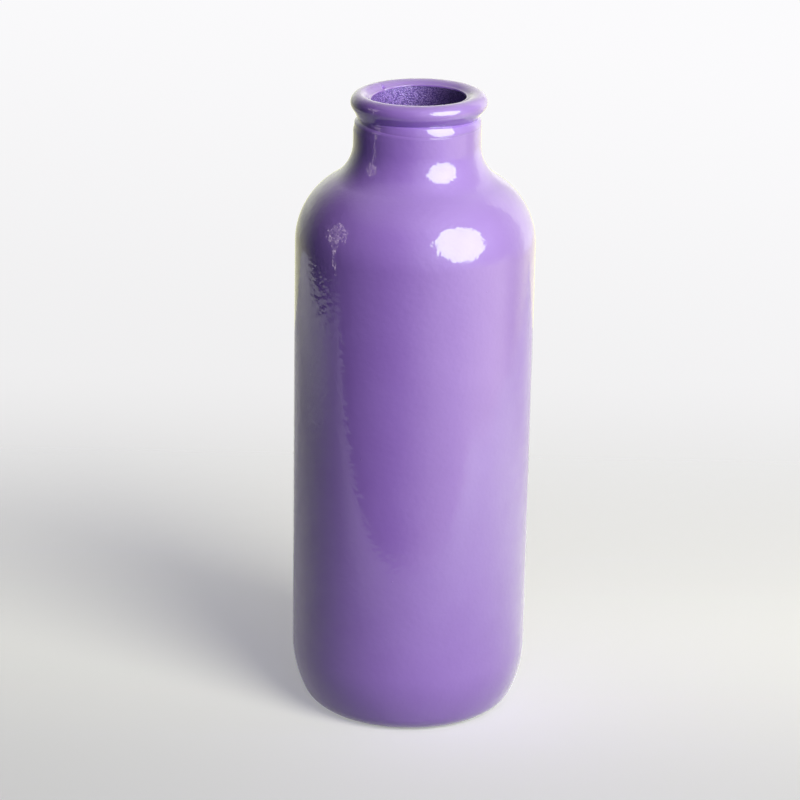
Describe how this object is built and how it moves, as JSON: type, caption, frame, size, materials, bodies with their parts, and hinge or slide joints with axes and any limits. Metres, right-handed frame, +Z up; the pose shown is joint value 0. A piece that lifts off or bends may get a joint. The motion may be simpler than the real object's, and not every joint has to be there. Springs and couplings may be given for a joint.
{
  "type": "bottle vase",
  "caption": "Free-standing bottle vase: thick moulded glass bottle with a rolled lip, sprayed with gloss purple lacquer outside and dusted with dry overspray inside the mouth.",
  "frame": {"origin": "centre of the base, on the surface that the bearing ring stands on", "axes": "+Z up along the bottle's axis, out of the mouth; -Y towards the picture's camera; +X to its right"},
  "size_m": [0.09, 0.09, 0.2404],
  "materials": {
    "glass": "clear moulded glass, polished, with a faint green-grey tint",
    "lip_glass": "clear fire-polished glass",
    "lacquer": "sprayed gloss lacquer with slight orange peel and a few dust nibs",
    "overspray": "dry, pebbled overspray"
  },
  "bodies": {
    "root": {"glass_bottle": "glass", "lip_ring": "lip_glass", "lacquer_coat": "lacquer", "neck_overspray": "overspray"}
  },
  "joints": []
}
